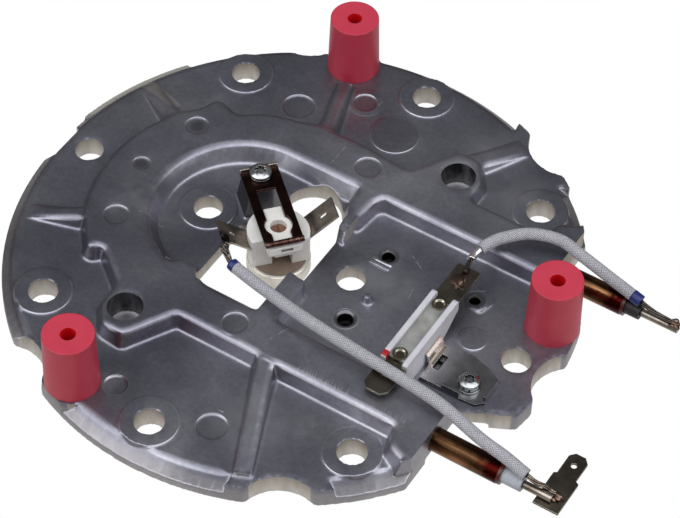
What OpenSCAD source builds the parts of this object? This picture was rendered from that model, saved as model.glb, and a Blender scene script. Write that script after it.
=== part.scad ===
// Cast heater plate for a small steam boiler, with a cast-in U-shaped tube, a temperature control,
// a one-shot cut-out and two sleeved leads. Millimetres, +Z up.
// Origin: centre of the bolt circle, in the plane of the rim's lower edge. +X is the way the tube leaves.

/* [Plate] */
// Outer diameter of the cast plate
plate_d = 140.6; // [138:0.5:144]
// Diameter of the bolt circle
bolt_circle_d = 121.6; // [119:0.2:123]
// Diameter of each bolt hole
bolt_hole_d = 7.05; // [6:0.05:7.6]
// Height of the pocket floor
floor_z = 5.7; // [5.4:0.05:6.2]
// Height of the channel that holds the tube, and of the rib roots
channel_z = 10.05; // [9.4:0.05:11]
// Depth of the recess in the underside
under_z = 1.65; // [1:0.05:1.9]
// Wall of the bosses round the bolt holes, under the plate
boss_wall = 2.6; // [1.5:0.1:3.5]
// Width of the ring that the plate stands on
lip_w = 4.95; // [4:0.1:6]
// Radius of each bite in the rim
bite_r = 10.05; // [8:0.1:11]
// Height of the plain rim wall under the sloping band
rim_wall_z = 2.3; // [1.8:0.05:3]
// Width of the sloping band round the rim
band_w = 3.2; // [2:0.1:4]

/* [Heating tube] */
// Outer diameter of the tube
tube_d = 5.7; // [5:0.05:6.2]
// Wall of the tube
tube_wall = 0.6; // [0.4:0.05:0.9]
// Radius of the tube's bend, at its middle
tube_bend_r = 29.1; // [28.5:0.1:29.8]
// Height of the tube's middle
tube_z = 4.95; // [4.85:0.05:5.2]
// How far the tube reaches out past the origin
tube_end_x = 73.4; // [70:0.2:80]
// Diameter of the terminal pins and of the coil
pin_d = 2; // [1.5:0.05:2.4]
// Length of each end seal
seal_l = 0.9; // [0.6:0.05:1.2]
// Length of the pale insulator
insulator_near_l = 5; // [3:0.1:6]
// Length of the dark insulator
insulator_far_l = 3.8; // [3:0.1:6]
// Diameter of the insulators
insulator_d = 3.95; // [3:0.05:4.6]
// Thickness of all terminal blades
blade_t = 0.6; // [0.4:0.05:0.8]

/* [Spacers] */
// Diameter at the top
spacer_d = 12.15; // [10:0.1:13]
// Extra diameter at the foot
spacer_taper = 1; // [0:0.05:1.2]
// Height of the spacers' top over the plate's lower edge
spacer_top_z = 22.35; // [18:0.1:26]
// Diameter of the hole
spacer_hole_d = 3.65; // [2.5:0.05:5]

/* [Temperature control] */
// Outer diameter of the knurled cup
cup_d = 15.5; // [15:0.1:16]
// Height of the cup
cup_h = 4.55; // [3.6:0.05:5]
// Wall of the cup
cup_wall = 0.8; // [0.5:0.05:1.1]
// Height of the ceramic's middle bar
bar_z = 14.9; // [14.6:0.05:15.4]
// Width of the clamp
clamp_w = 9.4; // [9:0.1:10]
// Width of each leg of the clamp
clamp_leg_w = 2.3; // [2:0.05:2.5]
// Thickness of the clamp
clamp_t = 0.6; // [0.4:0.05:0.9]
// Diameter of the screws' shanks
screw_d = 2.4; // [2:0.1:2.6]
// Width of the control's terminal blades
blade_w = 6.3; // [5:0.1:6.6]
// Rise of the control's terminal blades, in degrees
blade_rise = 39; // [30:1:45]

/* [Cut-out] */
// Width of the ceramic body
cutout_w = 7.05; // [6.6:0.05:7.6]
// Length of the ceramic body
cutout_l = 23.25; // [22:0.1:24]
// Height of the ceramic body over the floor
cutout_h = 7.9; // [7:0.05:8.4]
// Thickness of the bracket
bracket_t = 0.75; // [0.5:0.05:1]

/* [Leads] */
// Outer diameter of the sleeves
sleeve_d = 2.95; // [2.4:0.05:3.3]
// Diameter of the conductors
wire_d = 1.2; // [0.8:0.05:1.4]

/* [Hidden] */
$fn = 48;

plate_r = plate_d / 2;
bolt_r = bolt_circle_d / 2;
band_top_r = plate_r - band_w;
// Clearance round pieces that only sit close to each other
gap = 0.1;
// Depth by which a cut runs past the face it opens
past = 1;

// The bend of the tube and channel turns about this point
bend_x = -15.2;
channel_in = 6.1;
channel_out = 4.65;
channel_bulge = 3.8;
arm_end_x = 56.45;
channel_in_r = tube_bend_r - channel_in;
channel_out_r = tube_bend_r + channel_out;
bulge_r = channel_out_r + channel_bulge;
// Lean of the casting's walls: sideways per height
draft = 0.3;

bite_ring_r = plate_r + 5.95;
ear_w = 4.2;
ear_round = 2;
pad_d = 13.7;
pad_h = 0.3;

// Two inner holes
inner_holes = [[-25.25, 0], [15.65, 0]];

// Spacers: left, rear and right, as angle and distance from the origin
spacer_left_at = [-109.7, plate_r - 6.1];
spacer_rear_at = [109.7, plate_r - 6.1];
spacer_right_at = [12, plate_r - 6.1];

// Temperature control: place, and turn of its long axis
control_x = -3.35;
control_y = -2.35;
control_turn = -41.7;
cup_z = 0.46;
disc_z = cup_z + cup_h;
disc_d = cup_d - 2 * cup_wall;
lobe_left_z = bar_z - 1.05;
lobe_right_z = bar_z - 2;
blade_a = -0.9;
blade_root_z = bar_z - 4.7;
blade_l = 10.2;
clamp_z = bar_z;
clamp_far = -18.6;
clamp_near = 5.8;
web_near = -11.65;
control_screw_a = -16.5;
roll_d = 1.5;
post_near = -12.15;
post_far = -20.5;
post_w = 6.55;

// Cut-out: its middle, and the bracket beside it
cutout_x = 40.15;
cutout_y = -channel_in_r + 1.9 + cutout_l / 2;
cutout_wall = 1.35;
lid_z = floor_z + cutout_h - 2;
rivet_d = 3.5;
dimple_h = 0.25;
bracket_screw = [55.65, -12.9];

// Far ends of the pins and the tab
pin_near_x = 86.65;
pin_far_x = 87.8;
coil_x = 45.6;
tab_t = blade_t;
tab_top_z = tube_z - pin_d / 2;

// Routes of the leads, chosen by hand: from the weld at one end to the weld at the other
long_route = [[-10.8, -14.05, 14.6], [-10.2, -14.75, 13.85], [-8.9, -15.45, 13.05], [-7.15, -16.5, 12.6],
    [-2.65, -17.65, 12.6], [3.95, -19.25, 13.05], [15.2, -21.65, 13.9], [30.1, -23.7, 14.45],
    [44.15, -24.85, 14.15], [55.1, -25.45, 12.9], [66.9, -27.45, 10.8], [73.7, -28.1, 9.75],
    [79.8, -29.1, 8.75], [82.45, -28.9, 7.5], [84, -27.75, 6.1], [85.35, -27.3, 4.65], [87.1, -27.3, 4.65]];
short_route = [[40, 11, 12.9], [39.45, 14.05, 12.9], [39.2, 16.65, 12.9], [39.6, 18.85, 13.05],
    [40.65, 21.65, 13.3], [42.5, 24.55, 13.55], [47.25, 29.2, 13.55], [53.95, 31.75, 13.05],
    [60.05, 31.1, 12.15], [68.8, 29.95, 10.5], [74.1, 29.25, 9.6], [77.75, 28.75, 8.9],
    [80.55, 28.75, 7.75], [83.6, 29.05, 6.8], [86.65, 29.1, 6.6]];
route_steps = 3;
// The part of each route that is sleeved, counted in points
long_sleeved = [3, 12];
short_sleeved = [3, 11];

function about(angle, r) = [r * cos(angle), r * sin(angle)];
// The point on the way from one place to another that stops at a distance before it
function short_of(from, to, distance) = to - distance * (to - from) / norm(to - from);

// Catmull-Rom point between b and c
function curve_point(a, b, c, d, t) = 0.5 * ((2 * b) + (c - a) * t
    + (2 * a - 5 * b + 4 * c - d) * t * t + (3 * b - a - 3 * c + d) * t * t * t);
function at_end(route, i) = route[min(max(i, 0), len(route) - 1)];
function smooth(route, first, last, steps) = [for (i = [first : last - 1]) for (s = [0 : steps - 1])
    curve_point(at_end(route, i - 1), route[i], route[i + 1], at_end(route, i + 2), s / steps),
    route[last]];
function unit(v) = v / norm(v);

// Outline with rounded corners; each corner is x, y and radius
function rounded(corners, n = 5) = let (count = len(corners)) [for (i = [0 : count - 1])
    each corner_arc(corners[(i + count - 1) % count], corners[i], corners[(i + 1) % count], n)];
function corner_arc(before, at, after, n) = let (p = [at[0], at[1]], u = unit([before[0], before[1]] - p),
    v = unit([after[0], after[1]] - p), half = acos(u * v) / 2, reach = at[2] / tan(half),
    c = p + at[2] / sin(half) * unit(u + v), a = p + reach * u - c, b = p + reach * v - c)
    at[2] == 0 ? [p] : [for (k = [0 : n]) c + at[2] * unit(a * (1 - k / n) + b * k / n)];
// The same outline, moved outwards
function outward(a, b) = unit([b[1] - a[1], a[0] - b[0]]);
function grown(line, d) = let (count = len(line)) [for (i = [0 : count - 1])
    let (n1 = outward(line[(i + count - 1) % count], line[i]), n2 = outward(line[i], line[(i + 1) % count]))
    line[i] + d * (n1 + n2) / (1 + n1 * n2)];
function tangent(line, i) = unit(at_end(line, i + 1) - at_end(line, i - 1));
function side(t) = unit(cross(t, [0, 0, 1]));
function ring(line, i, r, n) = let (t = tangent(line, i), u = side(t), v = cross(u, t))
    [for (k = [0 : n - 1]) line[i] + r * (cos(360 * k / n) * u + sin(360 * k / n) * v)];

// A round cord along a line of points
module cord(line, d, n = 8) {
    count = len(line);
    points = [for (i = [0 : count - 1]) each ring(line, i, d / 2, n)];
    walls = [for (i = [0 : count - 2]) for (k = [0 : n - 1]) each [
        [i * n + k, i * n + (k + 1) % n, (i + 1) * n + (k + 1) % n],
        [i * n + k, (i + 1) * n + (k + 1) % n, (i + 1) * n + k]]];
    start = [[for (k = [0 : n - 1]) n - 1 - k]];
    finish = [[for (k = [0 : n - 1]) (count - 1) * n + k]];
    polyhedron(points, concat(walls, start, finish));
}

// The U that tube, filling and coil share; ends at each side's x
module u_rod(d, near_x, far_x) {
    translate([bend_x, 0, tube_z])
        rotate([0, 0, 90])
            rotate_extrude(angle = 180)
                translate([tube_bend_r, 0])
                    circle(d = d);
    for (leg = [[-1, near_x], [1, far_x]])
        translate([bend_x, leg[0] * tube_bend_r, tube_z])
            rotate([0, 90, 0])
                cylinder(d = d, h = leg[1] - bend_x);
}

// Triangles that fill an outline, found one by one: a corner is cut off when no other point is in it
function beyond(a, b, p) = cross(b - a, p - a) > 0;
function within(a, b, c, p) = beyond(a, b, p) && beyond(b, c, p) && beyond(c, a, p);
function is_ear(line, left, i) = let (n = len(left), a = line[left[(i + n - 1) % n]], b = line[left[i]],
    c = line[left[(i + 1) % n]])
    cross(b - a, c - b) > 1e-6 && len([for (k = left) if (within(a, b, c, line[k])) k]) == 0;
function next_ear(line, left, i) =
    i >= len(left) - 1 || is_ear(line, left, i) ? i : next_ear(line, left, i + 1);
function filled(line, left, done = []) = len(left) < 3 ? done : let (n = len(left), i = next_ear(line, left, 0))
    filled(line, [for (k = [0 : n - 1]) if (k != i) left[k]],
        concat(done, [[left[(i + n - 1) % n], left[i], left[(i + 1) % n]]]));

// A block with an outline at its top and walls that lean outwards by the casting's draft
module drafted_block(line, z0, z1) {
    n = len(line);
    foot = grown(line, draft * (z1 - z0));
    every = [for (i = [0 : n - 1]) i];
    polyhedron([each [for (p = foot) [p[0], p[1], z0]], each [for (p = line) [p[0], p[1], z1]]],
        concat(filled(foot, every),
            [for (f = filled(line, every)) [n + f[2], n + f[1], n + f[0]]],
            [for (i = every) [n + i, n + (i + 1) % n, (i + 1) % n, i]]));
}

// A straight rib whose top falls from z0 to z1, with the same draft on its sides
module rib(from, to, w, z0, z1) {
    l = norm(to - from);
    low = floor_z - past - 0.4;
    foot0 = w / 2 + draft * (z0 - low);
    foot1 = w / 2 + draft * (z1 - low);
    translate([from[0], from[1], 0])
        rotate([0, 0, atan2(to[1] - from[1], to[0] - from[0])])
            polyhedron([[0, -foot0, low], [l, -foot1, low], [l, foot1, low], [0, foot0, low],
                [0, -w / 2, z0], [l, -w / 2, z1], [l, w / 2, z1], [0, w / 2, z0]],
                [[0, 1, 2, 3], [7, 6, 5, 4], [4, 5, 1, 0], [5, 6, 2, 1], [6, 7, 3, 2], [7, 4, 0, 3]]);
}

module disc_with_band() {
    rotate_extrude($fn = 160)
        polygon([[0, 0], [plate_r, 0], [plate_r, rim_wall_z], [band_top_r, floor_z], [0, floor_z]]);
}

// A stretch of the rim from its outer wall inwards, up to a height
module rim_stretch(from, sweep, z) {
    rotate([0, 0, from])
        rotate_extrude(angle = sweep, $fn = 160)
            translate([band_top_r - 1, 0])
                square([band_w + 1, z]);
}

// Full-height rim beside the bites, under the spacers and at the right; a ledge at the upper left
module rim_ears() {
    intersection() {
        cylinder(r = plate_r, h = floor_z, $fn = 160);
        union() {
            for (angle = [0, 60, -60])
                translate(about(angle, bite_ring_r))
                    cylinder(r = bite_r + ear_w, h = floor_z);
            for (at = [spacer_left_at, spacer_rear_at, spacer_right_at])
                translate(about(at[0], at[1]))
                    cylinder(d = spacer_d + spacer_taper + 1.05, h = floor_z);
        }
    }
    rim_stretch(-19.5, 19.5, floor_z - 0.1);
    rim_stretch(146, 26, floor_z - 2);
}

// Half of a bite's edge, about +X: a rounded corner with the rim, then the bite's own arc
function bite_half() = let (reach = plate_r - ear_round,
    turn = acos((pow(bite_ring_r, 2) + pow(reach, 2) - pow(bite_r + ear_round, 2)) / (2 * bite_ring_r * reach)),
    c = about(turn, reach), inner = atan2(-c[1], bite_ring_r - c[0]))
    concat([[plate_r + 3.05, c[1] + 2.3]],
        [for (k = [0 : 5]) let (a = turn - 8 + (inner - turn + 8) * k / 5) c + about(a, ear_round)],
        [for (k = [1 : 8]) let (a = 180 + inner * (1 - k / 8)) [bite_ring_r, 0] + about(a, bite_r)]);

module bite() {
    half = bite_half();
    linear_extrude(channel_z * 2)
        polygon(concat(half, [for (i = [len(half) - 2 : -1 : 0]) [half[i][0], -half[i][1]]]));
}

// Arc of the bend, as corners without a radius
function bend_arc(r, from, to, n) = [for (k = [0 : n]) let (a = from + (to - from) * k / n)
    [bend_x + r * cos(a), r * sin(a), 0]];

// Web round each deep blind hole, as it lies on the far side; the near one is the same, turned
web = [[27.65, 33.75, 1.8], [27.65, 40.65, 2.75], [23.7, 45.85, 2.75], [17.95, 46.05, 1],
    [11, 33.75, 1.8]];

// Top outline of the channel: far arm, bend with its wider stretch, near arm and inner edge
channel_line = rounded(concat(
    [[arm_end_x + 1, channel_in_r, 0], [arm_end_x + 1, 41.5, 0], [55.1, 41.5, 1.15], [50.15, 39.15, 1.5],
        [48.85, channel_out_r, 1.9]],
    web,
    [[-3.05, 35.25, 6.1], [-16.7, 34.8, 6.1]],
    bend_arc(channel_out_r, 99, 117, 4),
    [[-34.8, 26.5, 2.6], [-41.5, 29.05, 1.65], [-43.55, 23.7, 2]],
    bend_arc(bulge_r, 147, 225, 18),
    [[-40.3, -29.2, 1.2], [-37.55, -26, 1.8]],
    [for (p = web) [-p[0], -p[1], p[2]]],
    [[48.85, -channel_out_r, 1.9], [50.15, -39.15, 1.5], [55.1, -41.5, 1.15], [arm_end_x + 1, -41.5, 0],
        [arm_end_x + 1, -channel_in_r, 0]],
    [[-11.4, -channel_in_r, 1.5], [-15.2, -20.2, 1.5], [-19, -18.7, 1.8], [-22.05, -21.9, 1.8]],
    bend_arc(channel_in_r, 246, 90, 26)));

// Sloping inner wall of the bend and of the far arm up to the stub wall
module inner_slope() {
    skirt = [[channel_in_r - 3.05, floor_z - past], [channel_in_r - 3.05, floor_z],
        [channel_in_r - 0.05, channel_z - 0.1], [channel_in_r + 3, channel_z - 0.1],
        [channel_in_r + 3, floor_z - past]];
    translate([bend_x, 0, 0]) {
        rotate([0, 0, 89.5])
            rotate_extrude(angle = 157, $fn = 96)
                polygon(skirt);
        rotate([90, 0, 90])
            linear_extrude(21.3 )
                polygon(skirt);
    }
}

module channel() {
    drafted_block(channel_line, floor_z - past, channel_z);
    inner_slope();
}

module ribs() {
    top_z = channel_z - 0.15;
    rib([12.85, -31.9], [26, -61.95], 3.95, top_z, floor_z + 1.2);
    rib([-12.6, 31.9], short_of([-12.6, 31.9], about(spacer_rear_at[0], spacer_rear_at[1]),
        (spacer_d + spacer_taper) / 2 + 1.45), 3.5, top_z, floor_z + 2);
    rib([17.2, 39.05], [29.35, 59], 5, top_z, floor_z + 0.46);
    rib([-44.45, 16.5], [-61.25, 25.9], 3.95, top_z, floor_z + 0.3);
    rib([-44.85, -18.6], [-60.95, -24.7], 3.95, top_z, floor_z + 0.15);
}

// Wall between the far arm and the window, falling to the floor at its end
module stub_walls() {
    drafted_block(rounded([[4.2, channel_in_r + 1, 0], [4.2, 18.25, 0], [5.95, 13.7, 1.5], [8.35, 13.7, 0.75],
        [9.1, 20.8, 1.8], [11.4, channel_in_r + 1, 0]], 3), floor_z - past, channel_z - 0.1);
    rotate([90, 0, 90])
        translate([0, 0, 6])
            linear_extrude(2.45)
                polygon([[7.3, floor_z - past], [7.3, floor_z], [9.75, channel_z - 0.75],
                    [11.7, channel_z - 0.15], [16.7, channel_z - 0.15], [16.7, floor_z - past]]);
    translate([0, 0, floor_z - past])
        linear_extrude(channel_z - floor_z + past - 0.1)
            polygon([[4.2, -channel_in_r - 1], [4.2, -9.1], [8.8, -9.6], [9.4, -11.4],
                [9.4, -channel_in_r - 1]]);
}

// Post that the control's clamp is screwed to, with sides that widen towards the floor
module clamp_post() {
    at_control()
        translate([post_far, 0, 0])
            rotate([90, 0, 90])
                linear_extrude(post_near - post_far)
                    polygon([[-post_w / 2 - 2.6, under_z + past], [post_w / 2 + 2.6, under_z + past],
                        [post_w / 2, clamp_z], [-post_w / 2, clamp_z]]);
}

// Recess of the underside, with a boss left round each bolt hole
module underside() {
    difference() {
        translate([0, 0, -past])
            cylinder(r = plate_r - lip_w, h = under_z + past, $fn = 160);
        for (i = [0 : 7])
            translate([each about(45 * i, bolt_r), -2 * past])
                cylinder(d = bolt_hole_d + 2 * boss_wall, h = under_z + 4 * past);
    }
}

module small_bosses() {
    for (angle = [45, 90, 135, -45, -90, -135])
        translate([each about(angle, bolt_r), floor_z - past])
            cylinder(d = pad_d, h = past + pad_h);
    translate([each inner_holes[0], floor_z - past])
        cylinder(d = pad_d, h = past + pad_h);
    translate([0, 0, floor_z - past])
        linear_extrude(past + 0.46)
            polygon(rounded([[41.5, 11.7, 1.05], [45.35, 14.2, 1.2], [47.95, 11.7, 1.2],
                [46.8, 7.35, 1.2], [43, 7.7, 1.2]], 3));
    translate([22.65, -3.8, floor_z - past])
        cylinder(d1 = 2.6, d2 = 1.9, h = past + 2.3);
    translate([0, 45.3, floor_z - past])
        cylinder(d = 12.15, h = past + 0.23);
    translate([-12, 50.75, floor_z - past])
        cylinder(d = 8.35, h = past + 0.27);
    translate([49.25, -0.23, floor_z - past])
        cylinder(d = 6.45, h = past + 0.23);
    for (y = [6.85, 8.05])
        translate([16.7, y, floor_z - past])
            cube([4.95, 0.55, past + 0.46]);
}

// Marks and pockets, as place, diameter, the face they open from and depth
module pockets() {
    for (mark = [[-40.65, 17.85, 6.1, channel_z], [-40.3, -16.85, 6.4, channel_z],
            [2.15, 29.1, 6.85, channel_z], [2.15, -29.05, 6.45, channel_z], [-44.85, 0, 4.55, channel_z],
            [-25.45, 40.65, 8.35, floor_z], [12.55, -54.1, 7.6, floor_z],
            [-12.55, -56.25, 5.8, floor_z], [-12, 50.75, 6.1, floor_z + 0.27]])
        translate([mark[0], mark[1], mark[3] - 0.38])
            cylinder(d = mark[2], h = 0.38 + past);
    for (hole = [[19.55, 10.65, 3.35], [21.05, -11.1, 3.65], [43.8, 10.05, 2.9]])
        translate([hole[0], hole[1], floor_z - 3.2])
            cylinder(d = hole[2], h = 3.2 + past);
    translate([21.05, -11.1, floor_z - 0.55])
        cylinder(d1 = 3.65, d2 = 5, h = 0.55);
    for (turn = [0, 180])
        rotate([0, 0, turn])
            translate([-22.05, -38.85, 2.75])
                cylinder(d = 8.5, h = channel_z);
    translate([each bracket_screw, floor_z - 3.05])
        cylinder(d = screw_d, h = 3.05 + past);
    at_control()
        translate([control_screw_a, 0, clamp_z - 6.85])
            cylinder(d = screw_d, h = 6.85 + past);
}

module window() {
    linear_extrude(channel_z * 2)
        polygon([[-15.95, -0.75], [-15.95, -19], [-13.3, -channel_in_r + 0.46], [1.9, -channel_in_r + 0.46],
            [4.2, -20.3], [4.2, -8.95], [6.55, -8.35], [6.55, 7.6], [4.2, 16.7], [-3.8, 18.25],
            [-10.8, 12.15], [-11, 7.2]]);
    translate([-3.8, 13.7, 0])
        cylinder(r = 7.05, h = channel_z * 2);
}

module rim_cuts() {
    for (angle = [0, 60, 120, -60, -120])
        rotate([0, 0, angle])
            translate([0, 0, -past])
                bite();
    translate([0, 0, -past])
        linear_extrude(channel_z * 2) {
            polygon([[arm_end_x, -21.3], [arm_end_x + 0.55, -20.15], [69.4, -13.55], [83.6, -10.65],
                [83.6, -57], [arm_end_x, -57]]);
            polygon([[arm_end_x, 22.8], [arm_end_x + 1.65, 20.65], [66.5, 20.65], [68.4, 17.85], [83.6, 15.2],
                [83.6, 57], [arm_end_x, 57]]);
            polygon([[-plate_r - 1, 8], [-66.95, 3.8], [-66.95, -5.7], [-plate_r - 1, -6.85]]);
        }
}

module heater_plate() {
    color([0.42, 0.42, 0.47])
        difference() {
            union() {
                disc_with_band();
                rim_ears();
                small_bosses();
                clamp_post();
                intersection() {
                    union() {
                        channel();
                        ribs();
                        stub_walls();
                    }
                    cylinder(r = plate_r - 1.15, h = channel_z + past, $fn = 160);
                }
            }
            underside();
            window();
            rim_cuts();
            pockets();
            for (i = [0 : 7])
                translate([each about(45 * i, bolt_r), -past])
                    cylinder(d = bolt_hole_d, h = channel_z * 2);
            for (hole = inner_holes)
                translate([each hole, -past])
                    cylinder(d = bolt_hole_d, h = channel_z * 2);
            u_rod(tube_d, plate_d, plate_d);
        }
}

module tube_sheath() {
    color([0.45, 0.28, 0.18])
        difference() {
            u_rod(tube_d, tube_end_x, tube_end_x);
            u_rod(tube_d - 2 * tube_wall, tube_end_x + past, tube_end_x + past);
        }
}

module magnesia_fill() {
    color([0.85, 0.85, 0.82])
        difference() {
            u_rod(tube_d - 2 * tube_wall, tube_end_x, tube_end_x);
            u_rod(pin_d, tube_end_x + past, tube_end_x + past);
        }
}

module resistance_coil() {
    color([0.5, 0.45, 0.4])
        u_rod(pin_d, coil_x, coil_x);
}

module terminal_pin(s, end_x) {
    color([0.45, 0.4, 0.35])
        translate([coil_x, s * tube_bend_r, tube_z])
            rotate([0, 90, 0])
                cylinder(d = pin_d, h = end_x - coil_x);
}

module pin_near() {
    terminal_pin(-1, pin_near_x);
}

module pin_far() {
    terminal_pin(1, pin_far_x);
}

// Ring on a terminal pin
module pin_ring(s, x, l, d) {
    translate([x, s * tube_bend_r, tube_z])
        rotate([0, 90, 0])
            difference() {
                cylinder(d = d, h = l);
                translate([0, 0, -past])
                    cylinder(d = pin_d, h = l + 2 * past);
            }
}

module seal_near() {
    color([0.45, 0.08, 0.06])
        pin_ring(-1, tube_end_x, seal_l, tube_d - 0.3);
}

module seal_far() {
    color([0.3, 0.06, 0.05])
        pin_ring(1, tube_end_x, seal_l, tube_d - 0.3);
}

module insulator_near() {
    color([0.82, 0.8, 0.74])
        pin_ring(-1, tube_end_x + seal_l, insulator_near_l, insulator_d);
}

module insulator_far() {
    color([0.1, 0.09, 0.09])
        pin_ring(1, tube_end_x + seal_l, insulator_far_l, insulator_d);
}

module terminal_tab() {
    color([0.35, 0.32, 0.28])
        translate([0, 0, tab_top_z - tab_t])
            linear_extrude(tab_t)
                difference() {
                    polygon([[83.05, -31.45], [89.45, -31.45], [89.45, -21.9], [88.55, -21.45],
                        [88.55, -15.95], [87.4, -14.65], [84.9, -14.65], [83.75, -15.95], [83.75, -21.45],
                        [83.05, -21.9]]);
                    translate([86.1, -17.95])
                        circle(d = 1.45);
                }
}

module spacer(at) {
    color([0.78, 0.22, 0.3])
        translate([each about(at[0], at[1]), floor_z])
            difference() {
                cylinder(d1 = spacer_d + spacer_taper, d2 = spacer_d, h = spacer_top_z - floor_z);
                translate([0, 0, -past])
                    cylinder(d = spacer_hole_d, h = spacer_top_z);
            }
}

module spacer_left() {
    spacer(spacer_left_at);
}

module spacer_rear() {
    spacer(spacer_rear_at);
}

module spacer_right() {
    spacer(spacer_right_at);
}

// Frame of the control: x runs along the clamp to its near end, y across it
module at_control() {
    translate([control_x, control_y, 0])
        rotate([0, 0, control_turn])
            children();
}

module control_cup() {
    teeth = 56;
    tooth = 0.25;
    color([0.75, 0.74, 0.7])
        at_control()
            translate([0, 0, cup_z])
                difference() {
                    union() {
                        cylinder(d = cup_d - 2 * tooth - 0.2, h = cup_h);
                        translate([0, 0, 0.4])
                            linear_extrude(cup_h - 0.9)
                                polygon([for (i = [0 : 2 * teeth - 1])
                                    about(180 * i / teeth, cup_d / 2 - tooth * (i % 2))]);
                    }
                    translate([0, 0, 0.5])
                        cylinder(d = disc_d, h = cup_h);
                }
}

module control_bimetal() {
    color([0.7, 0.68, 0.6])
        at_control()
            translate([0, 0, cup_z + 0.5])
                cylinder(d = disc_d - 0.6, h = 0.3);
}

module control_disc() {
    color([0.42, 0.33, 0.27])
        at_control()
            translate([0, 0, cup_z + 1.2])
                cylinder(d = disc_d - 0.1, h = disc_z - cup_z - 1.2);
}

// Ceramic housing: two lobes, a bar along the clamp, a round boss and an arch at the near end
module control_body() {
    bar_w = 4.4;
    lobe_in = 2.3;
    color([0.88, 0.87, 0.84])
        at_control()
            difference() {
                union() {
                    intersection() {
                        translate([0, 0, disc_z])
                            cylinder(d = cup_d - 0.4, h = bar_z - disc_z);
                        union() {
                            translate([-8.35, -8.35, disc_z])
                                cube([11, 8.35 - lobe_in, lobe_left_z - disc_z]);
                            translate([-8.35, lobe_in, disc_z])
                                cube([12.15, 8.35 - lobe_in, lobe_right_z - disc_z]);
                            translate([-6, -lobe_in - 0.5, disc_z])
                                cube([6.85, 2 * lobe_in + 1, bar_z - disc_z - 1]);
                        }
                    }
                    translate([-6, -bar_w / 2, bar_z - 5.3])
                        cube([11, bar_w, 5.3]);
                    translate([0, 0, bar_z - 5.3])
                        cylinder(d = 6.55, h = 5.3);
                    translate([3.4, -4.1, bar_z - 3.05])
                        cube([2.9, 8.5, 2.3]);
                    translate([1.15, -5.8, disc_z])
                        cube([1.5, 2.75, bar_z - disc_z - 4.55]);
                }
                translate([0, 0, bar_z - 3.8])
                    cylinder(d = 4.05, h = 3.8 + past);
                translate([5.55, -0.9, bar_z - 2.3])
                    cube([1.5, 2.75, 0.75]);
                blade_slots();
            }
}

// One blade of the control, rising outwards; s is the side, t its thickness
module control_blade(s, t, w) {
    translate([blade_a, s * (disc_d / 2 - 0.75), blade_root_z])
        rotate([0, 0, s * 90])
            rotate([0, -blade_rise, 0])
                translate([0, -w / 2, -t / 2])
                    cube([blade_l, w, t]);
}

module blade_slots() {
    for (s = [-1, 1])
        control_blade(s, blade_t + 0.02, blade_w + 0.02);
}

module blade_hole(s, l) {
    translate([blade_a, s * (disc_d / 2 - 0.75), blade_root_z])
        rotate([0, 0, s * 90])
            rotate([0, -blade_rise, 0])
                translate([6.55, 0, -past])
                    linear_extrude(2 * past)
                        hull()
                            for (x = [-l / 2, l / 2])
                                translate([x, 0])
                                    circle(d = 1, $fn = 16);
}

module control_blade_left() {
    color([0.5, 0.45, 0.4])
        at_control()
            difference() {
                control_blade(-1, blade_t, blade_w);
                blade_hole(-1, 0.75);
            }
}

module control_blade_right() {
    color([0.5, 0.45, 0.4])
        at_control()
            difference() {
                control_blade(1, blade_t, blade_w);
                blade_hole(1, 1.2);
            }
}

module control_adjuster() {
    color([0.4, 0.25, 0.18])
        at_control()
            translate([0, 0, bar_z - 3.8])
                difference() {
                    cylinder(d = 3.95, h = 2.3);
                    translate([-2.3, -0.3, 1.8])
                        cube([4.55, 0.6, 0.75]);
                }
}

// Stamped clamp: a web with the screw hole, two legs past the boss and a rolled near end
module control_clamp() {
    notch_d = 6.55 + 2 * gap;
    color([0.12, 0.08, 0.07])
        at_control() {
            difference() {
                translate([clamp_far, -clamp_w / 2, clamp_z])
                    cube([clamp_near - clamp_far, clamp_w, clamp_t]);
                translate([web_near, -clamp_w / 2 + clamp_leg_w, clamp_z - past])
                    cube([clamp_near - web_near - roll_d / 2, clamp_w - 2 * clamp_leg_w, clamp_t + 2 * past]);
                translate([0, 0, clamp_z - past])
                    cylinder(d = notch_d, h = clamp_t + 2 * past);
                translate([control_screw_a, 0, clamp_z - past])
                    cylinder(d = 3.2, h = clamp_t + 2 * past);
                translate([clamp_far - past, -1.65, clamp_z - past])
                    cube([0.6 + past, 3.35, clamp_t + 2 * past]);
            }
            translate([clamp_near, -clamp_w / 2, clamp_z + roll_d / 2])
                rotate([-90, 0, 0])
                    cylinder(d = roll_d, h = clamp_w);
            for (s = [-1, 1])
                translate([clamp_far, s * (clamp_w - clamp_leg_w) / 2 - clamp_leg_w / 2, clamp_z])
                    cube([0.7, clamp_leg_w, 1.8]);
        }
}

module control_washer() {
    color([0.7, 0.7, 0.72])
        at_control()
            translate([control_screw_a, 0, clamp_z + clamp_t])
                difference() {
                    cylinder(d = 5.45, h = 0.55);
                    translate([0, 0, -past])
                        cylinder(d = 3.2, h = 3 * past);
                }
}

// Pan-head screw with a recess in its head; z is the face under the head
module pan_screw(z, head_d, shank_l) {
    head_h = 1.5;
    translate([0, 0, z]) {
        difference() {
            intersection() {
                cylinder(d = head_d, h = head_h);
                translate([0, 0, -head_d * 0.62])
                    sphere(d = head_d * 1.8);
            }
            for (turn = [0, 60, 120])
                translate([0, 0, head_h * 0.45])
                    rotate([0, 0, turn])
                        translate([-head_d * 0.24, -0.42, 0])
                            cube([head_d * 0.48, 0.85, head_h]);
        }
        translate([0, 0, -shank_l])
            cylinder(d = screw_d, h = shank_l + 0.1);
    }
}

module control_screw() {
    color([0.72, 0.73, 0.75])
        at_control()
            translate([control_screw_a, 0, 0])
                pan_screw(clamp_z + clamp_t + 0.55, 5.3, 6.1);
}

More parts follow.
